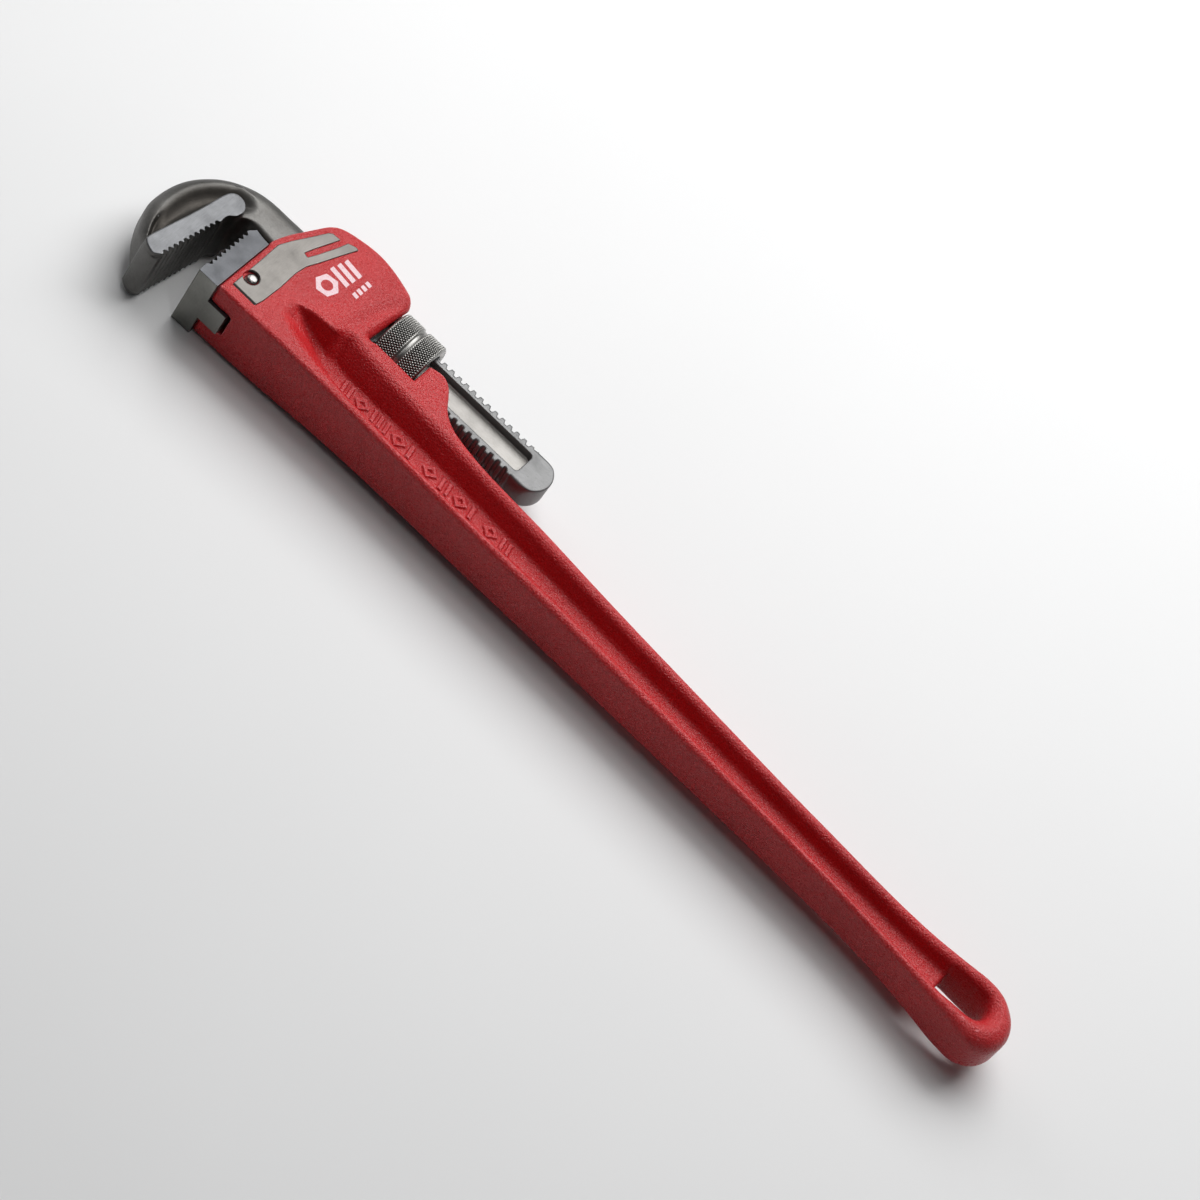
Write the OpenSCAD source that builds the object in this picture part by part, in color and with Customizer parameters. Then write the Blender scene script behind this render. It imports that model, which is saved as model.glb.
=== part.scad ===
// Heavy-duty straight pipe wrench, 600 mm size, with a sliding hook jaw,
// a knurled adjusting nut and a pinned heel jaw.
// X runs from the jaws (-X) to the tail (+X), Y from the front edge of the
// handle (-Y) to the nut side (+Y), Z through the thickness.
// The origin is the centre of the bounding box in plan, at its lowest face.

/* [Display] */
// Which sub-part to draw

/* [Handle] */
// Thickness of the housing at the head (mm)
head_thk = 41.6; // [40:0.2:43]
// Thickness of the handle flanges halfway along (mm)
mid_thk = 30.4; // [28:0.2:33]
// Thickness of the rounded tail (mm)
tail_thk = 30; // [28:0.5:32]
// Thickness of the web between the flanges (mm)
web_thk = 8; // [6:0.5:10]
// Width of the front flange (mm)
flange_front = 7; // [6:0.5:8]
// Width of the back flange (mm)
flange_back = 6.5; // [5.5:0.5:7]
// Radius of the rounded tail in plan (mm)
tail_r = 17.5; // [16.5:0.1:17.5]
// Width of the slot one hangs the wrench by (mm)
hang_w = 17; // [14:0.5:18]
// Length of the slot one hangs the wrench by (mm)
hang_len = 33; // [26:1:36]
// Height of the ground side pad above the housing side (mm)
pad_h = 0.6; // [0.4:0.1:0.8]

/* [Jaws] */
// Thickness of the heel jaw across the sides (mm)
heel_thk = 44; // [43:0.5:46]
// Height of the heel jaw over the housing (mm)
heel_h = 12.4; // [11:0.2:12.8]
// Thickness of the hook jaw over its side bosses (mm)
hook_thk = 38.6; // [36:0.2:41]
// Thickness of the hook jaw's outer rim (mm)
rim_thk = 32; // [28:0.5:34]
// Thickness of the recessed plate of the hook jaw (mm)
hook_web = 17; // [12:1:22]
// Thickness of the hook jaw's neck (mm)
neck_thk = 25; // [22:0.5:25.4]
// Distance from tooth to tooth (mm)
tooth_pitch = 3.6; // [3.2:0.1:5]
// Depth of the teeth (mm)
tooth_depth = 1.9; // [1.2:0.1:2.4]
// Diameter of the heel jaw's pin (mm)
pin_d = 6; // [5:0.5:6.5]

/* [Shank and nut] */
// Outside diameter of the shank's thread (mm)
thread_d = 28.2; // [27.8:0.1:28.4]
// Depth of the thread (mm)
thread_depth = 2.5; // [2.2:0.1:2.6]
// Pitch of the thread (mm)
thread_pitch = 5.08; // [5.08:0.01:5.08]
// Thickness of the shank (mm)
shank_thk = 15.3; // [14:0.1:16]
// Thickness of the shank at the bottom of its side pockets (mm)
shank_web = 5.6; // [4:0.2:8]
// Outside diameter of the nut (mm)
nut_d = 38.6; // [37:0.2:38.8]
// Length of the nut (mm)
nut_len = 27; // [24:0.5:27]
// Radial clearance between the nut's thread and the shank's (mm)
thread_gap = 0.35; // [0.3:0.01:0.4]

/* [Springs] */
// Thickness of the flat spring (mm)
leaf_t = 1.2; // [1:0.1:1.3]
// Width of the flat spring (mm)
leaf_w = 10; // [8:1:14]
// Wire diameter of the coil spring (mm)
wire_d = 1.1; // [0.8:0.1:1.2]

/* [Hidden] */
$fa = 4;
$fs = 0.6;

len_all = 597;              // hook to tail
x0 = -300;
x1 = x0 + len_all;
x_mid = (x0 + x1)/2;
y_back = 46.8;              // back of the housing
y_tip = -52.05;             // tip of the hook
y_mid = (y_back + y_tip)/2;
z_low = -heel_thk/2;        // lowest face, the side of the heel jaw

// shank axis and nut
ys = 24;
nut_x = -158.2;
thr_r = thread_d/2;
thr_root = thr_r - thread_depth;
sh = shank_thk/2;

// nut window and shank channel of the housing
win_x0 = -174.4;
win_x1 = -143.2;
win_y = 4.3;
chan_y0 = 5.8;
chan_y1 = 40.4;
chan_z = neck_thk/2 + 0.9;

// heel jaw seat
seat_x = -242.9;
heel_top = seat_x - heel_h;
heel_front = -41.3;
tenon_x = -230.6;
tenon_z = 7.9;
pin_x = -235.5;
pin_y = -21.6;

tail_cx = x1 - tail_r;
tail_cy = -30;

// points of a smooth curve through control points p, n steps per span
function cr(a, b, c, d, t) = 0.5*((2*b) + (c - a)*t + (2*a - 5*b + 4*c - d)*t*t + (3*b - a - 3*c + d)*t*t*t);
function curve(p, n = 4) = [for (i = [0:len(p)-2], k = [0:n-1])
    cr(p[max(i-1,0)], p[i], p[i+1], p[min(i+2,len(p)-1)], k/n)];

// half thickness of the handle along its length
side_pts = [[-243.6, head_thk/2], [-200, head_thk/2 - 0.4], [-172, head_thk/2 - 2.2],
            [-143, head_thk/2 - 3], [-128, mid_thk/2 + 2], [-33, mid_thk/2 + 0.7],
            [37, mid_thk/2 - 0.5], [105, mid_thk/2 - 1.3], [175, mid_thk/2 - 1.9],
            [235, mid_thk/2 - 2.2], [256, mid_thk/2 - 1.2], [269, tail_thk/2 - 0.2], [280, tail_thk/2], [x1 + 1, tail_thk/2]];

// plan outline: front edge from head to tail, round tail, back edge to the head
front_ctl = [[-241.5, -38], [-220, -37.6], [-190, -36.7], [-128, -36.8], [-30, -36.9], [60, -37.6],
             [130, -38.6], [185, -39.3], [230, -41.2], [248, -43.6], [263, -46]];
back_ctl = [[263, -13.6], [250, -15.9], [232, -16.9], [212, -17.2], [170, -15.6], [98, -12], [26, -8],
            [-42, -4], [-80, -2.6], [-100, -0.4], [-112, 2.4], [-120, 7.6], [-126.6, 13.9], [-131.2, 17.4],
            [-137, 19.2], [win_x1, 17.6]];
top_ctl = [[-172.9, 29.3], [-172.9, 32.8], [-173.8, 37.4], [-176.8, 41], [-182, 43.8], [-190, 45.8],
           [-200, y_back], [-208, 46.6], [-216, 45.6], [-222.4, 43.8], [-227.4, 41], [-231, 37.2],
           [-233.8, 31.4], [-237, 24], [-240.4, 16], [-243, 7.5], [-243.6, 4]];
tail_arc = [for (a = [-80:10:85]) [tail_cx + tail_r*cos(a), tail_cy + tail_r*sin(a)]];
outline = concat(curve(front_ctl, 3), [[271, -46.9]], tail_arc, [[271, -12.9]],
                 curve(back_ctl, 3), [[win_x1, win_y], [win_x0, win_y]],
                 curve(top_ctl, 3), [[seat_x, 1.6], [seat_x, -37.2]]);

// recess between the flanges
rec_back = [[-212, -9], [-203, -7.2], [-192, -5], [-186, -2.8], [-180, 0.2], [-170, -0.6], [-158, -1.2], [-147, -2.4],
            [-128, -3.4], [-100, -5.4], [-80, -6.6], [-42, -4 - flange_back], [26, -8 - flange_back],
            [98, -12 - flange_back + 0.6], [170, -15.6 - flange_back + 1.4], [212, -17.2 - flange_back + 1.8],
            [240, -21.2], [259, -20.6]];
rec_front = [[259, -39.4], [240, -41.7 + flange_front - 0.4], [185, -39.3 + flange_front], [130, -38.6 + flange_front],
             [60, -37.6 + flange_front], [-30, -36.9 + flange_front], [-128, -36.8 + flange_front],
             [-180, -36.8 + flange_front], [-192, -36.7 + flange_front + 3], [-202, -22.5], [-210, -15.5]];
slot_end = x1 - 11.5;
slot_arc = [for (a = [80:-20:-80]) [slot_end - 9.2 + 9.2*cos(a), tail_cy + 9.2*sin(a)]];

module both_sides() { children(); mirror([0, 0, 1]) children(); }
module frame() { translate([-x_mid, -y_mid, -z_low]) children(); }
module along_x(x, y, z = 0) { translate([x, y, z]) rotate([0, 90, 0]) children(); }

pad_pts = [[-239.2, -35.2], [-223.8, -33.6], [-222.6, -27], [-222.2, -13], [-222.8, 0], [-222, 7.5],
           [-218.8, 16.4], [-215.2, 27.6], [-211.4, 38.6], [-213.4, 39.2], [-217.8, 37.4], [-219.6, 30.2],
           [-223.4, 18.2], [-225.6, 12.6], [-228, 13.4], [-226.6, 18.8], [-222.6, 31.4], [-221.4, 35.6],
           [-226.6, 35.2], [-228.4, 33.4], [-232.4, 24], [-237.2, 13.2], [-240, 5.4], [-239.6, -8.6]];

module handle_pad() {
    translate([0, 0, head_thk/2 - 1.5]) linear_extrude(1.5 + pad_h) polygon(pad_pts);
}

module handle_body() {
    intersection() {
        linear_extrude(60, center = true) polygon(outline);
        rotate([90, 0, 0]) linear_extrude(140, center = true)
            polygon(concat(side_pts, [for (i = [len(side_pts)-1:-1:0]) [side_pts[i][0], -side_pts[i][1]]]));
    }
}

module handle() color([0.72, 0.09, 0.10]) frame() {
    difference() {
        union() {
            handle_body();
            both_sides() handle_pad();
        }
        // recesses on both sides of the web
        both_sides() translate([0, 0, web_thk/2]) linear_extrude(40)
            polygon(concat(curve(rec_back, 2), slot_arc, curve(rec_front, 2)));
        // slot to hang the wrench by
        linear_extrude(60, center = true) hull() {
            translate([slot_end - hang_w/2, tail_cy]) circle(d = hang_w, $fn = 48);
            translate([slot_end - hang_len + 2, tail_cy - hang_w/2]) square([2, hang_w]);
        }
        // channel for the neck and shank of the hook jaw, and for the shank past the window
        translate([-260, chan_y0, -chan_z]) cube([260 - 168.5, chan_y1 - chan_y0, 2*chan_z]);
        translate([win_x1 - 0.5, chan_y0, -(sh + 1.2)]) cube([50, 60, 2*(sh + 1.2)]);
        // pocket for the coil spring
        translate([-220, -4, 0]) rotate([-90, 0, 0]) cylinder(r = 3.7, h = 12);
        // seat of the heel jaw's tenon
        translate([-260, -60, -(tenon_z + 0.15)]) cube([tenon_x + 2 + 260, 60 - 3, 2*(tenon_z + 0.15)]);
        // pin hole, countersunk on both sides
        translate([pin_x, pin_y, -40]) cylinder(d = pin_d, h = 80);
        both_sides() translate([pin_x, pin_y, head_thk/2 - 1]) cylinder(r1 = pin_d/2 + 0.6, r2 = pin_d/2 + 2.2, h = 1 + pad_h + 0.2);
    }
}

function tooth_row(a, b, n, depth, side) = let (d = (b - a)/n, u = d/norm(d), w = side*[u[1], -u[0]])
    [for (i = [0:n-1], k = [0:2]) a + d*(i + [0, 0.42, 0.58][k]) + w*[0, depth, depth][k]];

// heel jaw: toothed block, tenon below it
module heel_jaw() color([0.47, 0.48, 0.49]) frame() {
    difference() {
        union() {
            linear_extrude(heel_thk, center = true) polygon(concat(
                [[seat_x, heel_front], [heel_top + 0.4, heel_front], [heel_top, heel_front + 0.6], [heel_top, -34.6]],
                tooth_row([heel_top, -34.6], [heel_top, -2.6], round(32/tooth_pitch), tooth_depth, 1),
                [[heel_top, -2.6], [heel_top + 0.6, -1.2], [heel_top + 3, 2.3], [seat_x - 3.4, 1.2], [seat_x, 1]]));
            translate([seat_x - 1, heel_front, -tenon_z]) cube([tenon_x - seat_x + 1, -4 - heel_front, 2*tenon_z]);
        }
        translate([pin_x, pin_y, -40]) cylinder(d = pin_d, h = 80);
    }
}

module heel_jaw_pin() color([0.66, 0.64, 0.60]) frame() {
    translate([pin_x, pin_y, 0]) rotate_extrude() polygon([[0, -head_thk/2 - 0.2], [pin_d/2 - 0.8, -head_thk/2 - 0.2],
        [pin_d/2, -head_thk/2 + 0.6], [pin_d/2, head_thk/2 - 0.6], [pin_d/2 - 0.8, head_thk/2 + 0.2], [0, head_thk/2 + 0.2]]);
}

// hook jaw
neck_r = neck_thk/2 + 0.2;
back_curve = [[-273.4, -50.2], [-276.6, -52.0], [-281, -50.8], [-285.8, -46.6], [-291.6, -39.4], [-296.4, -31.6],
              [-299.4, -22.6], [x0, -14.6], [-299.2, -7], [-297.4, 0], [-294.8, 6.2], [-291.4, 12], [-287, 17.8],
              [-281.8, 23], [-275.6, 27.8], [-268.4, 32], [-260.4, 35.2], [-252, 37], [-244, 37.5]];
inner_curve = [[-263.6, 6.4], [-265, 2], [-267.4, -1.2], [-268.2, -4], [-267.8, -7.2]];
teeth_a = [-267.9, -8];
teeth_b = [-273.2, -47.8];
boss_pts = concat([[-274.6, -49.6], [-277.2, -51.6], [-280.4, -51.2], [-284, -48.6], [-285.2, -45.6], [-283.2, -31],
                   [-281, -18.4], [-279.2, -6], [-277.6, 6.6], [-276.2, 10.6], [-273, 12.6], [-269.4, 12.4],
                   [-266, 10.4], [-264.6, 7.2]], curve(inner_curve, 3),
                  tooth_row(teeth_a, teeth_b, round(norm(teeth_b - teeth_a)/tooth_pitch), tooth_depth, 1), [[-273.2, -47.8]]);
hook_pts = concat(curve(back_curve, 3), [[-244, 37.5], [-244, 10.4], [-256.4, 10.4], [-260.6, 9.4]],
                  curve(inner_curve, 3), tooth_row(teeth_a, teeth_b, round(norm(teeth_b - teeth_a)/tooth_pitch), tooth_depth, 1), [[-273.2, -47.8]]);
panel_pts = [[-286.8, -41], [-291, -34], [-293.4, -25.4], [-293.8, -15], [-292.6, -4.6], [-290, 3.4], [-286.4, 9.8],
             [-281.6, 15.4], [-275.2, 19.4], [-268, 19.6], [-265, 15], [-272, 12], [-276.4, 10], [-278.2, 4],
             [-280.4, -10], [-283, -27]];

// threaded part of the shank: the teeth on its two edges are pieces of one helix
thr_x0 = -193;
thr_x1 = -71;
flank = 0.7;
root_w = 1.7;
pock = 8;
teeth_n = floor((thr_x1 - thr_x0 - 3)/thread_pitch);
thr_start = thr_x0 + 3;
seg = 4;
// one tooth of the thread: centre angle c (0 back edge, 180 front edge), first flank foot at x
r_in = thr_root - 0.5;
foot = flank*0.5/thread_depth;
edge_a = asin((sh - 0.04)/thr_r);
tooth_faces = concat([[0, 1, 2, 3]],
    [for (i = [0:seg-1], j = [0:3], t = [0:1]) let (a = 4*i + j, b = 4*i + (j+1) % 4)
        t == 0 ? [a, a + 4, b] : [b, a + 4, b + 4]],
    [[4*seg + 3, 4*seg + 2, 4*seg + 1, 4*seg]]);
module thread_tooth(x, c) {
    pts = [for (i = [0:seg]) let (a = c + edge_a*(2*i/seg - 1))
        each [for (q = [[-foot, r_in], [thread_pitch - root_w + foot, r_in], [thread_pitch - root_w - flank, thr_r], [flank, thr_r]])
            [x + root_w + thread_pitch*a/360 + q[0], ys + q[1]*cos(a), q[1]*sin(a)]]];
    polyhedron(pts, tooth_faces, convexity = 4);
}

module hook_jaw() color([0.36, 0.36, 0.35]) frame() {
    difference() {
        union() {
            // recessed plate, rim and side bosses of the hook
            linear_extrude(rim_thk, center = true) intersection() {
                polygon(hook_pts);
                translate([-320, -70]) square([62, 140]);
            }
            linear_extrude(hook_thk, center = true) polygon(boss_pts);
            // neck and plain part of the shank
            intersection() {
                rotate([90, 0, 0]) translate([0, 0, -37.5]) linear_extrude(37.5 - 10.2)
                    polygon([[-259, neck_thk/2 + 1.6], [-255, neck_thk/2], [-222, neck_thk/2], [-209, sh], [-192, sh],
                             [-192, -sh], [-209, -sh], [-222, -neck_thk/2], [-255, -neck_thk/2], [-259, -neck_thk/2 - 1.6]]);
                union() {
                    along_x(-262, 37.7 - neck_r) cylinder(r = neck_r, h = 90);
                    translate([-262, 5, -20]) cube([90, 32.7 - neck_r, 40]);
                }
            }
            // rounded end of the shank
            intersection() {
                translate([-72, ys, -sh]) cylinder(r = 13.4, h = 2*sh);
                along_x(-90, ys) cylinder(r = thr_r - 0.45, h = 60);
            }
            // core of the threaded part
            intersection() {
                translate([-196, -40, -sh]) cube([thr_x1 + 196 - 0.5, 140, 2*sh]);
                along_x(-197, ys) cylinder(r = thr_root, h = thr_x1 + 200);
            }
            for (i = [0:teeth_n-1]) {
                thread_tooth(thr_start + thread_pitch*i, 0);
                thread_tooth(thr_start + thread_pitch*i, 180);
            }
        }
        both_sides() translate([0, 0, hook_web/2]) linear_extrude(30) polygon(curve(concat(panel_pts, [panel_pts[0]]), 2));
        // side pockets of the shank
        both_sides() translate([-190, ys - pock, shank_web/2]) cube([114.5, 2*pock, 20]);
        // the plain part is cut back to the thread's diameter
        difference() {
            translate([-206, -20, -30]) cube([15, 90, 60]);
            along_x(-210, ys) cylinder(r = thr_r - 0.45, h = 30);
        }
    }
}

// adjusting nut: two knurled bands with a rounded groove, internal thread
ridge_n = 24;
bore_r = thr_r + thread_gap;
ridge_turns = 3.5;
phase = thr_start + root_w/2;
ridge_x = phase + thread_pitch*ceil((nut_x - nut_len/2 + 2.6 - phase)/thread_pitch);
ax_gap = 0.3;
function half_w(r) = root_w/2 + (r - thr_root)*flank/thread_depth - ax_gap;
ridge_sec = [[-half_w(thr_root + thread_gap), thr_root + thread_gap], [half_w(thr_root + thread_gap), thr_root + thread_gap],
             [half_w(bore_r + 0.6), bore_r + 0.6], [-half_w(bore_r + 0.6), bore_r + 0.6]];
ridge_k = ridge_n*ridge_turns;
ridge_pts = [for (i = [0:ridge_k], p = ridge_sec) let (a = 360*i/ridge_n)
    [ridge_x + thread_pitch*i/ridge_n + p[0], ys + p[1]*cos(a), p[1]*sin(a)]];
ridge_faces = concat([[0, 1, 2, 3]],
    [for (i = [0:ridge_k-1], j = [0:3], t = [0:1]) let (a = 4*i + j, b = 4*i + (j+1) % 4)
        t == 0 ? [a, a + 4, b] : [b, a + 4, b + 4]],
    [[4*ridge_k + 3, 4*ridge_k + 2, 4*ridge_k + 1, 4*ridge_k]]);

module nut() color([0.60, 0.59, 0.57]) frame() {
    along_x(nut_x, ys) rotate_extrude() polygon([
        [bore_r + 1.2, -nut_len/2], [nut_d/2 - 1.2, -nut_len/2], [nut_d/2, -nut_len/2 + 1], [nut_d/2, -2],
        [nut_d/2 - 0.8, -1.4], [nut_d/2 - 1.1, -0.6], [nut_d/2 - 1.1, 0.6], [nut_d/2 - 0.8, 1.4], [nut_d/2, 2],
        [nut_d/2, nut_len/2 - 1], [nut_d/2 - 1.2, nut_len/2], [bore_r + 1.2, nut_len/2], [bore_r, nut_len/2 - 1.2],
        [bore_r, -nut_len/2 + 1.2]]);
    polyhedron(ridge_pts, ridge_faces, convexity = 10);
}

// flat spring bearing on the front of the shank, with the coil spring riveted under it
leaf_y = 9.5;
module flat_spring() color([0.30, 0.31, 0.34]) frame() {
    difference() {
        linear_extrude(leaf_w, center = true) polygon([[-236, leaf_y - leaf_t], [-182, leaf_y - leaf_t],
            [-180.6, leaf_y - leaf_t - 0.6], [-180.2, leaf_y - 0.8], [-181.8, leaf_y], [-236, leaf_y]]);
        translate([-220, -4, 0]) rotate([-90, 0, 0]) cylinder(r = 1.2, h = 20);
    }
}

module spring_rivet() color([0.62, 0.60, 0.56]) frame() {
    translate([-220, 0, 0]) rotate([-90, 0, 0]) {
        translate([0, 0, leaf_y - leaf_t - 4]) cylinder(r = 1.2, h = 4 + leaf_t);
        translate([0, 0, leaf_y - leaf_t - 0.8]) cylinder(r = 1.9, h = 0.8);
    }
}

// coil as a stack of slanted turns
coil_r = 3.05 - wire_d/2;
coil_pitch = 1.75;
coil_n = 12;
coil_turns = 5;
coil_top = leaf_y - leaf_t - wire_d/2;
coil_k = coil_n*coil_turns;
coil_pts = [for (i = [0:coil_k], j = [0:5]) let (a = 360*i/coil_n, b = 60*j, r = coil_r + wire_d/2*cos(b))
    [-220 + r*cos(a), coil_top - coil_pitch*i/coil_n - wire_d/2*sin(b), r*sin(a)]];
coil_faces = concat([[for (j = [0:5]) j]],
    [for (i = [0:coil_k-1], j = [0:5], t = [0:1]) let (a = 6*i + j, b = 6*i + (j+1) % 6)
        t == 0 ? [a, a + 6, b] : [b, a + 6, b + 6]],
    [[for (j = [5:-1:0]) 6*coil_k + j]]);
module coil_spring() color([0.45, 0.46, 0.48]) frame() polyhedron(coil_pts, coil_faces, convexity = 10);

handle();
heel_jaw();
heel_jaw_pin();
hook_jaw();
nut();
flat_spring();
coil_spring();
spring_rivet();
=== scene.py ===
import math
import bpy
import numpy as np
from mathutils import Matrix, Vector


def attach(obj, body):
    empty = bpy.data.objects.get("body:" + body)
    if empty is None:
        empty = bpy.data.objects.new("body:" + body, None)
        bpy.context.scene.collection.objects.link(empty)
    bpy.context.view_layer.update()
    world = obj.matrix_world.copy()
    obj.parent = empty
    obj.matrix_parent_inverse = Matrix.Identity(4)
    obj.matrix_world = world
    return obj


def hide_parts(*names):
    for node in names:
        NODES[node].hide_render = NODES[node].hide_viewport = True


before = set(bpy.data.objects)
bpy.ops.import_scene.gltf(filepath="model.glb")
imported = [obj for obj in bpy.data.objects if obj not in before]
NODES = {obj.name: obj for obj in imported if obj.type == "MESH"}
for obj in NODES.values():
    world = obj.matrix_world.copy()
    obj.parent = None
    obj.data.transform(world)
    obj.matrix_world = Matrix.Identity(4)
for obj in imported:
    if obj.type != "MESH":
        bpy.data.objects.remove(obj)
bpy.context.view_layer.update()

# Shapes below are worked out in the wrench's own plan coordinates in millimetres: X along the wrench, Y towards the nut,
# Z through the thickness with 0 at its middle. The row frame is that plus this offset.
OFF = np.array([1.5, 2.625, 22.0])


def lerp(a, b, t):
    return a + (b - a) * t


def step(t):
    t = np.clip(t, 0.0, 1.0)
    return t * t * (3 - 2 * t)


def curve(p, n=8):
    """Points of a smooth curve through the control points p."""
    p = np.asarray(p, float)
    out = []
    for i in range(len(p) - 1):
        a, b, c, d = p[max(i - 1, 0)], p[i], p[i + 1], p[min(i + 2, len(p) - 1)]
        for k in range(n):
            t = k / n
            out.append(0.5 * (2 * b + (c - a) * t + (2 * a - 5 * b + 4 * c - d) * t * t + (3 * b - a - 3 * c + d) * t ** 3))
    out.append(p[-1])
    return np.array(out)


def poly_sd(pts, X, Y, closed=True):
    """Signed distance to a closed polygon, negative inside; plain distance for an open line."""
    pts = np.asarray(pts, float)
    keep = np.r_[True, np.hypot(*np.diff(pts, axis=0).T) > 1e-6]
    pts = pts[keep]
    n = len(pts)
    shape = X.shape
    px, py = X.ravel().astype(np.float32), Y.ravel().astype(np.float32)
    best = np.full(px.shape, 1e9, np.float32)
    odd = np.zeros(px.shape, bool)
    for i in range(n if closed else n - 1):
        ax, ay = pts[i]
        bx, by = pts[(i + 1) % n]
        ex, ey = bx - ax, by - ay
        l2 = ex * ex + ey * ey
        if l2 < 1e-12:
            continue
        wx, wy = px - np.float32(ax), py - np.float32(ay)
        t = np.clip((wx * ex + wy * ey) / l2, 0, 1)
        dx, dy = wx - t * ex, wy - t * ey
        np.minimum(best, dx * dx + dy * dy, out=best)
        if closed and ay != by:
            c = (ay > py) != (by > py)
            odd ^= c & (px < ex * (py - ay) / ey + ax)
    d = np.sqrt(best)
    if closed:
        d = np.where(odd, -d, d)
    return d.reshape(shape)


def rmax(a, b, r):
    """Intersection of two distances with the outer edge rounded by r."""
    u, v = a + r, b + r
    return np.minimum(np.maximum(u, v), 0) + np.hypot(np.maximum(u, 0), np.maximum(v, 0)) - r


def rmin(a, b, r):
    """Union of two distances with a fillet of radius r."""
    return -rmax(-a, -b, r)


def grid(*spans):
    """Coordinates with spacing that changes: (start, end, spacing) spans joined end to end."""
    out = [np.array([spans[0][0]])]
    for a, b, s in spans:
        n = max(1, int(round((b - a) / s)))
        out.append(np.linspace(a, b, n + 1)[1:])
    return np.concatenate(out)


def half_grid(top, s):
    n = int(math.ceil(top / s))
    return (np.arange(n + 1) - 0.5) * s


def nets(xs, ys, zs, F):
    """Surface of F = 0 on a rectilinear grid, as vertices and outward-facing quads."""
    ins = F < 0
    c8 = [ins[a:ins.shape[0] - 1 + a, b:ins.shape[1] - 1 + b, c:ins.shape[2] - 1 + c] for a in (0, 1) for b in (0, 1) for c in (0, 1)]
    some = c8[0].copy()
    every = c8[0].copy()
    for c in c8[1:]:
        some |= c
        every &= c
    act = some & ~every
    I, J, K = np.nonzero(act)
    ident = np.full(act.shape, -1, np.int32)
    ident[I, J, K] = np.arange(len(I), dtype=np.int32)
    val = {}
    for a in (0, 1):
        for b in (0, 1):
            for c in (0, 1):
                val[a, b, c] = F[I + a, J + b, K + c].astype(np.float64)
    acc = np.zeros((len(I), 3))
    cnt = np.zeros(len(I))
    corners = list(val)
    for p in corners:
        for ax in range(3):
            if p[ax] == 1:
                continue
            q = list(p)
            q[ax] = 1
            q = tuple(q)
            v1, v2 = val[p], val[q]
            m = (v1 < 0) != (v2 < 0)
            t = np.where(m, v1 / np.where(m, v1 - v2, 1), 0)
            for k in range(3):
                acc[:, k] += np.where(m, (t if k == ax else p[k]), 0)
            cnt += m
    u = acc / cnt[:, None]
    dx = np.stack([xs[I + 1] - xs[I], ys[J + 1] - ys[J], zs[K + 1] - zs[K]], 1)
    for _ in range(3):
        w = [1 - u, u]
        f = np.zeros(len(I))
        g = np.zeros((len(I), 3))
        for p in corners:
            wx, wy, wz = w[p[0]][:, 0], w[p[1]][:, 1], w[p[2]][:, 2]
            v = val[p]
            f += v * wx * wy * wz
            g[:, 0] += (1 if p[0] else -1) * v * wy * wz
            g[:, 1] += (1 if p[1] else -1) * v * wx * wz
            g[:, 2] += (1 if p[2] else -1) * v * wx * wy
        g /= dx
        n2 = np.maximum((g * g).sum(1), 0.05)
        mv = -(f / n2)[:, None] * g
        u = np.clip(u + np.clip(mv / dx, -0.35, 0.35), 0.02, 0.98)
    V = np.stack([xs[I], ys[J], zs[K]], 1) + u * dx
    quads = []
    e = ins[:-1, 1:-1, 1:-1] != ins[1:, 1:-1, 1:-1]
    i, j, k = np.nonzero(e)
    j, k = j + 1, k + 1
    q = np.stack([ident[i, j - 1, k - 1], ident[i, j, k - 1], ident[i, j, k], ident[i, j - 1, k]], 1)
    quads.append(np.where(ins[i, j, k][:, None], q, q[:, ::-1]))
    e = ins[1:-1, :-1, 1:-1] != ins[1:-1, 1:, 1:-1]
    i, j, k = np.nonzero(e)
    i, k = i + 1, k + 1
    q = np.stack([ident[i - 1, j, k - 1], ident[i - 1, j, k], ident[i, j, k], ident[i, j, k - 1]], 1)
    quads.append(np.where(ins[i, j, k][:, None], q, q[:, ::-1]))
    e = ins[1:-1, 1:-1, :-1] != ins[1:-1, 1:-1, 1:]
    i, j, k = np.nonzero(e)
    i, j = i + 1, j + 1
    q = np.stack([ident[i - 1, j - 1, k], ident[i, j - 1, k], ident[i, j, k], ident[i - 1, j, k]], 1)
    quads.append(np.where(ins[i, j, k][:, None], q, q[:, ::-1]))
    return V, np.concatenate(quads), K


def mirrored(V, Q, K):
    """The whole of a shape that is symmetric about z = 0, from its upper half made on half_grid."""
    flat = K == 0
    V = V.copy()
    V[flat, 2] = 0
    n = len(V)
    other = np.where(flat, np.arange(n), 0)
    rest = np.nonzero(~flat)[0]
    other[rest] = n + np.arange(len(rest))
    W = V[rest].copy()
    W[:, 2] *= -1
    return np.concatenate([V, W]), np.concatenate([Q, other[Q][:, ::-1]])


def make(name, V, Q, mats, smooth=True):
    """A mesh object from plan coordinates in millimetres."""
    me = bpy.data.meshes.new(name)
    co = (np.asarray(V, float) + OFF) * 0.001
    me.from_pydata(co.tolist(), [], [tuple(int(v) for v in f) for f in Q] if isinstance(Q, list) else Q.tolist())
    me.update()
    ob = bpy.data.objects.new(name, me)
    bpy.context.scene.collection.objects.link(ob)
    if smooth:
        me.polygons.foreach_set("use_smooth", np.ones(len(me.polygons), bool))
    for m in mats if isinstance(mats, (list, tuple)) else [mats]:
        me.materials.append(m)
    return ob


# ---------------------------------------------------------------- materials

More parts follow.
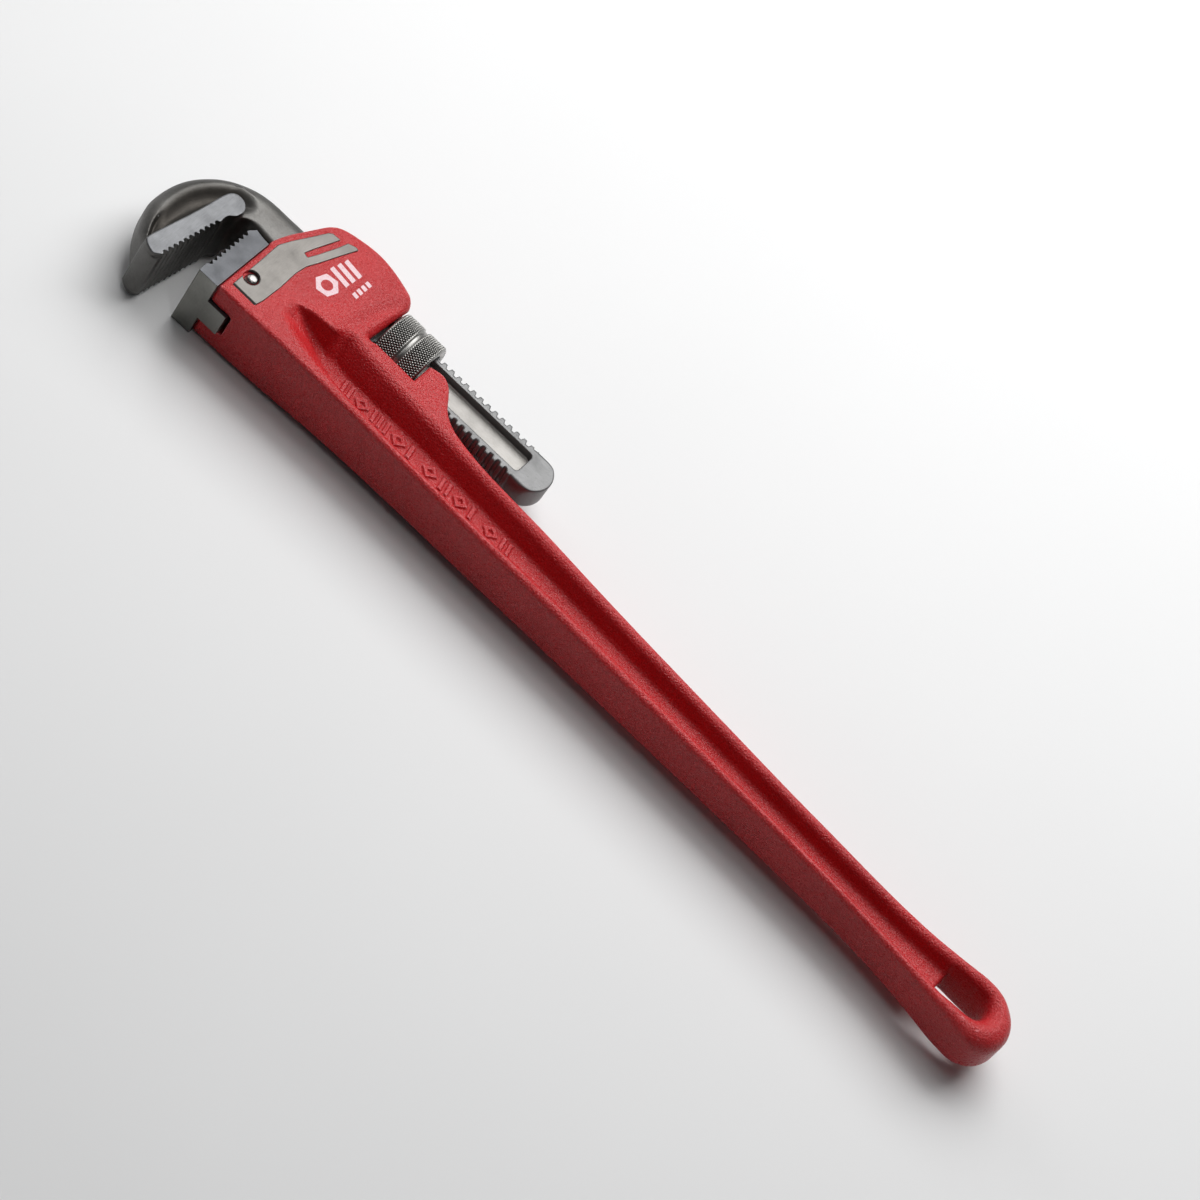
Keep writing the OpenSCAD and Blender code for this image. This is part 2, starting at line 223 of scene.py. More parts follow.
class Mat:
    """A small helper that builds a node material."""

    def __init__(self, name):
        self.m = bpy.data.materials.new(name)
        self.m.use_nodes = True
        self.t = self.m.node_tree
        self.b = self.t.nodes["Principled BSDF"]
        self.co = self.n("ShaderNodeTexCoord").outputs["Object"]

    def n(self, kind, **props):
        nd = self.t.nodes.new(kind)
        for k, v in props.items():
            setattr(nd, k, v)
        return nd

    def link(self, a, b):
        self.t.links.new(a, b)

    def noise(self, scale, detail=3, rough=0.55, stretch=None, rot=None, distort=0.0):
        v = self.co
        if stretch or rot:
            mp = self.n("ShaderNodeMapping")
            if stretch:
                mp.inputs["Scale"].default_value = stretch
            if rot:
                mp.inputs["Rotation"].default_value = rot
            self.link(v, mp.inputs["Vector"])
            v = mp.outputs[0]
        nd = self.n("ShaderNodeTexNoise")
        nd.inputs["Scale"].default_value = scale
        nd.inputs["Detail"].default_value = detail
        nd.inputs["Roughness"].default_value = rough
        nd.inputs["Distortion"].default_value = distort
        self.link(v, nd.inputs["Vector"])
        return nd.outputs["Fac"]

    def voronoi(self, scale, feature="F1"):
        nd = self.n("ShaderNodeTexVoronoi", feature=feature)
        nd.inputs["Scale"].default_value = scale
        self.link(self.co, nd.inputs["Vector"])
        return nd.outputs["Distance"]

    def ramp(self, fac, stops):
        nd = self.n("ShaderNodeValToRGB")
        el = nd.color_ramp.elements
        while len(el) < len(stops):
            el.new(0.5)
        for e, (p, c) in zip(el, stops):
            e.position = p
            e.color = (*c, 1) if len(c) == 3 else c
        self.link(fac, nd.inputs["Fac"])
        return nd.outputs["Color"]

    def range(self, fac, a, b, c, d):
        nd = self.n("ShaderNodeMapRange")
        for i, v in enumerate((a, b, c, d)):
            nd.inputs[1 + i].default_value = v
        self.link(fac, nd.inputs[0])
        return nd.outputs[0]

    def mix(self, fac, a, b, mode="MIX"):
        nd = self.n("ShaderNodeMix", data_type="RGBA", blend_type=mode)
        for sock, v in ((nd.inputs[0], fac), (nd.inputs[6], a), (nd.inputs[7], b)):
            if isinstance(v, (int, float)):
                sock.default_value = v
            elif isinstance(v, tuple):
                sock.default_value = (*v, 1)
            else:
                self.link(v, sock)
        return nd.outputs[2]

    def math(self, op, a, b=0.0):
        nd = self.n("ShaderNodeMath", operation=op)
        for sock, v in ((nd.inputs[0], a), (nd.inputs[1], b)):
            if isinstance(v, (int, float)):
                sock.default_value = v
            else:
                self.link(v, sock)
        return nd.outputs[0]

    def bump(self, height, dist, strength=1.0, after=None):
        nd = self.n("ShaderNodeBump")
        nd.inputs["Strength"].default_value = strength
        nd.inputs["Distance"].default_value = dist
        self.link(height, nd.inputs["Height"])
        if after is not None:
            self.link(after, nd.inputs["Normal"])
        return nd.outputs[0]

    def edge(self, a, b):
        """1 on convex edges, from the mesh's own pointiness."""
        g = self.n("ShaderNodeNewGeometry")
        return self.range(g.outputs["Pointiness"], a, b, 0, 1)

    def set(self, color=None, rough=None, normal=None, **const):
        for sock, v in (("Base Color", color), ("Roughness", rough)):
            if v is None:
                continue
            if isinstance(v, (int, float)):
                self.b.inputs[sock].default_value = v
            elif isinstance(v, tuple):
                self.b.inputs[sock].default_value = (*v, 1)
            else:
                self.link(v, self.b.inputs[sock])
        if normal is not None:
            self.link(normal, self.b.inputs["Normal"])
        for k, v in const.items():
            self.b.inputs[k.replace("_", " ")].default_value = v
        return self.m


def red_paint():
    m = Mat("red_cast_paint")
    big = m.noise(28, 3)
    fine = m.noise(900, 2, 0.6)
    speck = m.noise(1700, 2, 0.7)
    col = m.ramp(big, [(0.3, (0.40, 0.009, 0.012)), (0.7, (0.48, 0.013, 0.016))])
    col = m.mix(m.range(m.noise(1150, 2, 0.6), 0.56, 0.70, 0, 0.42), col, (0.72, 0.10, 0.11))
    col = m.mix(m.range(m.noise(420, 4, 0.7), 0.62, 0.8, 0, 0.35), col, (0.30, 0.006, 0.009))
    # Convex edges lightened to pink in a speckle: a painted highlight along the crests of the rounded edges.
    crest_highlight = m.math("MULTIPLY", m.edge(0.514, 0.540), m.range(m.noise(1000, 3, 0.7), 0.40, 0.62, 0.12, 0.60))
    col = m.mix(crest_highlight, col, (0.78, 0.26, 0.28))
    rough = m.range(fine, 0.3, 0.7, 0.24, 0.38)
    n1 = m.bump(m.noise(230, 3, 0.5), 0.0002, 0.5)
    n2 = m.bump(fine, 0.0008, 0.9, n1)
    n3 = m.bump(speck, 0.00035, 0.8, n2)
    return m.set(col, rough, n3, Specular_IOR_Level=0.42)


def forged(name="forged_steel"):
    m = Mat(name)
    big = m.noise(35, 4, 0.6)
    fine = m.noise(1300, 3, 0.6)
    col = m.ramp(big, [(0.25, (0.066, 0.062, 0.057)), (0.5, (0.100, 0.097, 0.092)), (0.8, (0.150, 0.146, 0.140))])
    col = m.mix(m.range(m.noise(700, 3, 0.7), 0.55, 0.75, 0, 0.5), col, (0.06, 0.052, 0.045))
    sunk = m.n("ShaderNodeAttribute", attribute_name="sunk").outputs["Fac"]
    col = m.mix(m.math("MULTIPLY", sunk, 0.85), col, m.ramp(m.noise(60, 4, 0.6), [(0.3, (0.016, 0.0135, 0.011)), (0.7, (0.032, 0.027, 0.022))]))
    col = m.mix(m.edge(0.54, 0.64), col, (0.30, 0.30, 0.30))
    rough = m.range(fine, 0.3, 0.7, 0.40, 0.58)
    n = m.bump(m.noise(240, 3), 0.0003, 0.3)
    n = m.bump(fine, 0.00008, 0.8, n)
    return m.set(col, rough, n, Metallic=0.85)


def ground(name, tone, grain=(1, 30, 30), rot=None, dark=0.72, speck=0.5, rough=(0.32, 0.5), metal=0.95, cut=False):
    """Ground or machined steel: fine parallel scratches, pits and a little staining."""
    m = Mat(name)
    lines = m.noise(160, 4, 0.7, stretch=grain, rot=rot)
    stain = m.noise(70, 4, 0.65)
    pits = m.noise(1500, 3, 0.7)
    a = tuple(c * dark for c in tone)
    col = m.ramp(lines, [(0.3, a), (0.7, tone)])
    col = m.mix(m.range(stain, 0.45, 0.75, 0, 0.5), col, tuple(c * 0.62 for c in tone))
    col = m.mix(m.range(pits, 0.58, 0.74, 0, speck), col, tuple(c * 0.4 for c in tone))
    col = m.mix(m.edge(0.53, 0.62), col, tuple(min(1, c * 1.9) for c in tone))
    # Concave creases darkened to a fifth of the tone: painted shade in the creases.
    col = m.mix(m.edge(0.48, 0.40), col, tuple(c * 0.22 for c in tone))
    if cut:
        # Knurl grooves darkened almost to black by their depth: painted shade in the grooves.
        knurl_groove_shade = m.n("ShaderNodeAttribute", attribute_name="cut").outputs["Fac"]
        col = m.mix(m.range(knurl_groove_shade, 0.15, 0.75, 0, 0.93), col, (0.012, 0.011, 0.010))
    r = m.range(stain, 0.3, 0.7, rough[0], rough[1])
    n = m.bump(lines, 0.00004, 0.6)
    n = m.bump(pits, 0.00005, 0.7, n)
    return m.set(col, r, n, Metallic=metal)


def print_white():
    m = Mat("printed_mark")
    sp = m.noise(1500, 2, 0.7)
    col = m.mix(m.range(sp, 0.52, 0.66, 0, 0.6), (0.70, 0.52, 0.55), (0.56, 0.12, 0.14))
    return m.set(col, m.range(sp, 0.3, 0.7, 0.45, 0.6), m.bump(m.noise(900, 2), 0.0001, 0.6))


RED = red_paint()
FORGED = forged()
BOSS = ground("ground_boss", (0.135, 0.137, 0.142), grain=(18, 1, 18), speck=0.9, dark=0.7, rough=(0.36, 0.52))
HEEL = ground("ground_heel", (0.072, 0.074, 0.079), grain=(1, 22, 22), speck=0.5, dark=0.8, rough=(0.36, 0.5))
HEEL_FRONT = ground("heel_dark", (0.185, 0.185, 0.170), grain=(22, 22, 1), speck=0.4, dark=0.8)
PAD = ground("ground_pad", (0.122, 0.115, 0.107), grain=(20, 1, 20), rot=(0, 0, 0.15), dark=0.82, speck=0.45, rough=(0.32, 0.46))
SHANK = ground("shank_steel", (0.15, 0.15, 0.15), grain=(1, 16, 16), speck=0.95, dark=0.75, metal=0.6)
FLOOR_ST = ground("shank_pocket", (0.33, 0.315, 0.295), grain=(1, 10, 10), speck=0.45, dark=0.85, metal=0.3)
NUT = ground("nut_steel", (0.30, 0.294, 0.28), grain=(20, 1, 1), speck=0.3, dark=0.85, rough=(0.26, 0.4), cut=True)
PIN = ground("pin_steel", (0.26, 0.25, 0.24), grain=(8, 8, 8), speck=0.25, dark=0.9, rough=(0.22, 0.34))
SPRING = ground("blued_spring", (0.10, 0.11, 0.14), grain=(1, 20, 20), speck=0.3, rough=(0.3, 0.42))
WHITE = print_white()

# ---------------------------------------------------------------- dimensions shared with the CAD

X1, YB = 297.0, 46.8
WX0, WX1, WY = -174.4, -143.3, 4.3
SEAT = -242.9
YS = 24.0
THR, ROOT = 14.1, 12.25
SH = 7.65
PITCH = 5.08
PIN_X, PIN_Y = -235.5, -21.6
TCX, TCY, TR = 279.5, -30.0, 17.5

front_ctl = [[-241.5, -39.2], [-220, -39.0], [-190, -38.1], [-160, -37.3], [-128, -37.2], [-80, -37.7], [-30, -38.0], [15, -38.3],
             [60, -38.6], [95, -38.9], [130, -39.2], [160, -39.6], [185, -40.2], [210, -41.3], [230, -43.0], [247, -44.9],
             [263, -47.2], [276.3, -49.4], [281.6, -50.0], [286.8, -49.4], [291.6, -47.0], [295.3, -43.2], [297.5, -38.3],
             [298.3, -33.3], [297.9, -28.4], [296.3, -24.0], [293.8, -20.1], [290.5, -16.9], [286.6, -14.4], [282.2, -12.7],
             [276.5, -12.0], [270.5, -12.4]]
back_ctl = [[270.5, -12.4], [263, -13.3], [249, -14.5], [232, -15.5], [212, -15.8], [190, -15.3], [170, -14.5], [135, -13.3],
            [98, -11.5], [60, -9.7], [26, -8.1], [-8, -6.2], [-42, -4], [-80, -2.6], [-100, -0.4], [-112, 2.4], [-120, 7.6],
            [-125.8, 15.4], [-130.0, 19.8], [-135.5, 21.8], [WX1, 19.8]]
top_ctl = [[-172.9, 29.3], [-172.4, 33.8], [-172.4, 38.4], [-175.6, 42.4], [-181.8, 45.1], [-189.9, 47.2],
           [-200, 48.2], [-208, 47.8], [-216, 46.3], [-222.5, 44.5], [-227.6, 41.8], [-231, 37.6],
           [-233.8, 31.4], [-237, 24], [-240.4, 16], [-243, 7.5], [-243.6, 4]]
outline = np.concatenate([curve(front_ctl, 6), curve(back_ctl, 6), [[WX1, WY], [WX0, WY]],
                          curve(top_ctl, 6), [[SEAT, 1.6], [SEAT, -38.6]]])
outline_top = np.concatenate([curve(front_ctl, 6), curve(back_ctl, 6), [[WX1, 6.1], [WX0, 6.1]],
                              curve(top_ctl, 6), [[SEAT, 1.6], [SEAT, -38.6]]])

rec_back = [[-209.0, -12.4], [-202.5, -9.9], [-195, -8.9], [-189.4, -8.1], [-186.6, -6.4], [-184, -3.6], [-181.3, -1.5], [-177, -1.8],
            [-170, -3.0], [-158, -3.9], [-147, -4.7], [-128, -5.3], [-100, -6.8], [-80, -8.2], [-42, -10.5], [26, -14.5],
            [98, -17.9], [170, -20.7], [212, -21.9], [240, -21.6], [259, -20.4]]
rec_front = [[259, -39.9], [238, -38.6], [225, -37.6], [185, -35.2], [130, -33.8], [100, -33.2], [60, -32.2], [0, -31.6],
             [-30, -31.8], [-70, -32.8], [-114, -32.3], [-140, -31.6], [-165, -31.0], [-180, -30.4], [-190, -29.4],
             [-200, -27.0], [-208, -24.2], [-212.3, -21.4], [-212.3, -17.4], [-210.4, -14.0]]
slot_arc = [[276.3 + 9.3 * math.cos(math.radians(a)), TCY + 0.35 + 9.1 * math.sin(math.radians(a))] for a in range(84, -85, -7)]
recess = np.concatenate([curve(rec_back, 5), slot_arc, curve(rec_front, 5)])


def interp(x, pts):
    """Smooth interpolation through (x, value) pairs."""
    pts = np.asarray(pts, float)
    px, pv = pts[:, 0], pts[:, 1]
    h = np.diff(px)
    d = np.diff(pv) / h
    m = np.zeros(len(px))
    m[1:-1] = np.where(d[:-1] * d[1:] > 0, 2 * d[:-1] * d[1:] / np.where(d[:-1] + d[1:] == 0, 1, d[:-1] + d[1:]), 0)
    x = np.clip(x, px[0], px[-1])
    i = np.clip(np.searchsorted(px, x) - 1, 0, len(px) - 2)
    t = (x - px[i]) / h[i]
    return ((2 * t ** 3 - 3 * t ** 2 + 1) * pv[i] + (t ** 3 - 2 * t ** 2 + t) * h[i] * m[i]
            + (-2 * t ** 3 + 3 * t ** 2) * pv[i + 1] + (t ** 3 - t ** 2) * h[i] * m[i + 1])


front_h = [[-260, 20.8], [-222, 20.7], [-206, 20.4], [-190, 19.8], [-176, 19.0], [-160, 18.2], [-128, 17.2], [-33, 15.9], [37, 14.7], [105, 13.9],
           [175, 13.3], [235, 12.9], [254, 13.7], [269, 14.8], [280, 15], [305, 15]]
back_low = [[-260, 18.9], [-182, 18.9], [-172, 18.6], [-143, 17.8], [-128, 17.2], [-33, 15.9], [37, 14.7], [105, 13.9],
            [175, 13.3], [235, 12.9], [254, 13.7], [269, 14.8], [280, 15], [305, 15]]


def side_height(X, Y):
    """Half thickness of the handle and housing over the plan."""
    front = interp(X, front_h)
    low = interp(X, back_low)
    xv = interp(Y, [[-14, -190], [-6, -187.5], [4, -186.8], [15, -185.2], [21, -184.0], [37, -177.5], [48, -172]])
    s = X - xv
    high = 20.8 - 0.25 * step((X + 226) / 40) - 0.5 * step((Y - 26) / 20) * step((Y - 26) / 20)
    drop = step((s + 3.6) / 8.0)
    back = lerp(high, low, drop)
    ridge = 0.45 * np.exp(-((s - 7.6) / 2.4) ** 2) * step((Y + 8) / 8)
    back = back + ridge
    w = step((Y + 27) / 22)
    return lerp(front, back, w)


def edge_radius(X, Y):
    r = interp(X, [[-244, 1.5], [-236, 2.2], [-200, 2.6], [-150, 2.8], [-118, 3.2], [-90, 3.7], [240, 3.9], [266, 5.0], [280, 7.6], [292, 9.6], [300, 9.6]])
    rb = interp(X, [[-244, 1.4], [-232, 2.0], [-200, 2.8], [-184, 4.4], [-173, 4.4], [-169, 2.4], [-140, 2.2], [-118, 3.0], [-90, 3.6], [240, 3.9], [266, 5.0], [280, 7.6], [292, 9.6], [300, 9.6]])
    return lerp(r, rb, step((Y + 10) / 12))


def marks(X, Y):
    """Plain raised marks on the floor of the recess: slanted bars and rings of diamonds."""
    d = np.full(X.shape, 9.0, np.float32)

    def bar(cx, w=2.2, lean=0.22, h=3.9, cy=None):
        nonlocal d
        cy_ = -19.4 - 0.026 * (cx + 115) if cy is None else cy
        u = (X - cx) + lean * (Y - cy_)
        v = Y - cy_
        q = np.maximum(np.abs(u) - w / 2, np.abs(v) - h)
        d = np.minimum(d, q)

    def diamond(cx, rx=5.0, ry=4.3, t=1.05):
        nonlocal d
        cy_ = -19.4 - 0.026 * (cx + 115)
        q = (np.abs(X - cx) / rx + np.abs(Y - cy_) / ry - 1) * (rx * ry / math.hypot(rx, ry))
        d = np.minimum(d, np.abs(q + t) - t)

    for cx in (-166.0, -161.6):
        bar(cx)
    diamond(-153.2)
    for cx in (-144.8, -140.4, -136.0):
        bar(cx)
    diamond(-127.4)
    bar(-119.0, 2.6)
    diamond(-105.0)
    for cx in (-96.4, -92.0):
        bar(cx)
    diamond(-83.6)
    bar(-75.4, 2.6)
    diamond(-62.0)
    for cx in (-53.6, -49.2):
        bar(cx)
    return d


def build_handle():
    xs = grid((-245.2, -120, 0.5), (-120, -44, 0.6), (-44, 250, 1.3), (250, 301.3, 0.7))
    ys = grid((-51.6, 49.9, 0.5))
    zs = half_grid(22.6, 0.5)
    X, Y = np.meshgrid(xs, ys, indexing="ij")
    d_out = poly_sd(outline, X, Y)
    d_top = np.where((X > -190) & (X < -120), poly_sd(outline_top, X, Y), d_out)
    d_rec = poly_sd(recess, X, Y)
    H = side_height(X, Y)
    R = edge_radius(X, Y)
    # slot, pin hole and tenon seat in plan
    sx = np.clip(X, 256.0, 273.0)
    d_slot = np.hypot(X - sx, Y - TCY) - 8.5
    d_slot = np.where(X < 263, rmax(np.abs(Y - TCY) - 8.5, 254.2 - X, 1.5), d_slot)
    d_pin = np.hypot(X - PIN_X, Y - PIN_Y)
    # walls of the recess
    yc = interp(X, [[-213, -15], [-190, -17], [-160, -20], [0, -20], [100, -22], [200, -26], [262, -30]])
    back = step((Y - yc + 3) / 6)
    lead = interp(X, [[-260, 0.5], [-188, 0.6], [-183, 3.8], [-177, 5.6], [-168, 5.6], [-150, 5.0], [-120, 4.0], [-77, 2.6], [-10, 1.5], [60, 0.5], [300, 0.2]])
    t_back = 0.24
    tail_end = step((X - 274) / 9)
    t_front = interp(X, [[-213, 1.3], [-194, 1.15], [-181, 0.9], [-174, 0.7], [-163, 0.32], [-150, 0.2], [300, 0.2]])
    floor = interp(X, [[-214, 20.6], [-208, 16.8], [-202, 12.6], [-196, 9.6], [-190, 6.9], [-183, 4.7], [-176, 4.05], [-160, 4.0], [300, 4.0]])
    floor = floor + 0.7 * np.exp(-((Y + 17.5) / 4.5) ** 2) * step((-180 - X) / 10) * step((X + 211) / 8)
    mk = marks(X, Y)
    floor = floor + 1.3 * step((0.35 - mk) / 0.6)
    r_lip = interp(X, [[-215, 2.6], [-190, 2.2], [-172, 2.4], [-120, 2.8], [-60, 3.0], [240, 3.2], [262, 4.4], [275, 5.2], [300, 5.4]])
    r_lip = np.where((X < -184) & (Y > yc - 3), lerp(r_lip, 1.3, back * step((-184 - X) / 4)), r_lip)
    r_base = interp(X, [[-213, 2.5], [-185, 2.2], [-160, 1.6], [-60, 1.6], [0, 2.2], [240, 2.4], [253, 2.0], [300, 2.0]])
    F = np.empty((len(xs), len(ys), len(zs)), np.float32)
    for k, z in enumerate(zs):
        az = abs(z)
        body = rmax(lerp(d_out, d_top, step((az - 7.0) / 2.5)), az - H, R)
        dz = np.maximum(H - az, 0)
        off = back * (t_back * dz + lead * (1 - np.exp(-dz / 10.0)) * 1.3) + (1 - back) * t_front * dz
        off = lerp(off, 0.66 * dz, tail_end)
        wall = (d_rec + off) / np.sqrt(1 + 0.25 * (lead / 6) ** 2 * back)
        plug = rmax(wall, floor - az, np.minimum(r_base, 6))
        d = rmax(body, -plug, r_lip)
        d = rmax(d, -d_slot, 2.2)
        # channel of the neck and shank
        ch = np.maximum(np.maximum(5.8 - Y, Y - 40.4), np.maximum(az - 13.4, X + 168.5))
        d = rmax(d, -ch, 0.9)
        gr = np.maximum(np.maximum(5.8 - Y, az - 8.85), np.maximum(WX1 - 0.5 - X, X + 93))
        d = rmax(d, -gr, 0.8)
        # seat of the tenon
        ts = rmax(rmax(az - 8.05, X + 228.6, 1.6), Y + 3, 0.5)
        d = rmax(d, -ts, 0.45)
        # pin hole with its countersink, and the coil spring's pocket
        hole = np.where(az > 19.0, d_pin - (4.3 + 0.5 * np.clip(az - 19.9, 0, 2)), d_pin - 3.05)
        d = np.maximum(d, -hole)
        coil = np.maximum(np.hypot(X + 220, z) - 3.7, np.maximum(-4 - Y, Y - 8))
        d = np.maximum(d, -coil)
        F[:, :, k] = d
    V, Q, K = nets(xs, ys, zs, F)
    V, Q = mirrored(V, Q, K)
    ob = make("handle_casting", V, Q, RED)
    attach(ob, "handle")
    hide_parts("handle")
    return ob


def build_pads():
    """The two ground pads on the sides of the housing, with their forked ends."""
    pad = np.array([[-239.2, -35.6], [-223.8, -34.0], [-222.6, -27], [-222.2, -13], [-222.8, 0], [-222, 7.5],
                    [-218.8, 16.4], [-215.2, 27.6], [-211.4, 38.6], [-213.4, 39.2], [-217.8, 37.4], [-219.6, 30.2],
                    [-223.4, 18.2], [-225.6, 12.6], [-228, 13.4], [-226.6, 18.8], [-222.6, 31.4], [-221.4, 35.6],
                    [-226.6, 35.2], [-228.4, 33.4], [-232.4, 24], [-237.2, 13.2], [-240, 5.4], [-239.6, -8.6]])
    xs = grid((-241, -209.5, 0.3))
    ys = grid((-37, 40.5, 0.3))
    zs = grid((17.6, 22.2, 0.16))
    X, Y = np.meshgrid(xs, ys, indexing="ij")
    d = poly_sd(pad, X, Y)
    top = 21.4 - np.maximum(0, -31.6 - Y) * 0.62
    d_pin = 4.3 - np.hypot(X - PIN_X, Y - PIN_Y)
    F = np.empty((len(xs), len(ys), len(zs)), np.float32)
    for k, z in enumerate(zs):
        f = rmax(d + 0.1, (z - top) / np.where(Y < -31.6, 1.18, 1), 0.35)
        f = rmax(f, d_pin + 0.35 * np.clip(z - 20.6, 0, 1), 0.25)
        F[:, :, k] = np.maximum(f, 18.0 - z)
    V, Q, K = nets(xs, ys, zs, F)
    obs = []
    for name, s in (("pad_upper", 1), ("pad_lower", -1)):
        W = V * [1, 1, s]
        ob = make(name, W, Q if s > 0 else Q[:, ::-1], PAD)
        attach(ob, "handle")
        obs.append(ob)
    return obs


# ---------------------------------------------------------------- hook jaw

back_curve = [[-273.4, -50.2], [-276.6, -51.8], [-280.8, -50.4], [-285.4, -46.2], [-292.0, -39.7], [-297.0, -31.8],
              [-300.6, -23.0], [-301.3, -14.7], [-300.7, -6.7], [-299.1, 0.6], [-296.5, 7.1], [-292.9, 13.1], [-288.3, 18.9],
              [-282.6, 23.9], [-275.8, 28.0], [-268.0, 31.2], [-260.0, 33.7], [-251.8, 35.2], [-244, 36.1]]
inner_curve = [[-244, 10.2], [-256.4, 10.4], [-260.6, 9.4], [-263.6, 6.4], [-265, 2], [-267.4, -1.2], [-268.2, -4], [-267.8, -7.2]]
TA, TB = np.array([-267.9, -8.0]), np.array([-273.2, -47.8])


def teeth(a, b, n, depth, side):
    a, b = np.asarray(a, float), np.asarray(b, float)
    d = (b - a) / n
    u = d / np.hypot(*d)
    w = side * np.array([u[1], -u[0]])
    out = []
    for i in range(n):
        for k, h in ((0.04, 0.0), (0.40, depth), (0.60, depth), (0.96, 0.0)):
            out.append(a + d * (i + k) + w * h)
    return np.array(out)


hook_teeth = teeth(TA, TB, 11, 1.7, 1)
hook_poly = np.concatenate([curve(back_curve, 6), [[-200, 36.6], [-200, 10.2]], curve(inner_curve, 6), hook_teeth, [TB]])
boss_poly = np.concatenate([curve([[-274.2, -49.0], [-277.2, -51.4], [-280.6, -51.0], [-284.2, -48.8], [-285.4, -45.4], [-283.2, -31],
                                   [-281, -18.4], [-279.2, -6], [-277.8, 5.4], [-276.2, 10.4], [-273, 12.8], [-269.2, 12.5],
                                   [-266, 10.4], [-264.4, 7.0], [-265, 2], [-267.4, -1.2], [-268.2, -4], [-267.8, -7.2]], 6),
                            hook_teeth, [TB]])
panel_poly = curve([[-287.6, -41.5], [-291.4, -34], [-293.6, -25.4], [-294.0, -15], [-292.8, -4.6], [-290, 3.4], [-286.4, 9.8],
                    [-281.6, 15.4], [-275.2, 19.4], [-267, 20.6], [-262, 17], [-264, 10], [-272, 2], [-276, -10], [-279, -27],
                    [-281.6, -38.6], [-287.6, -41.5]], 6)


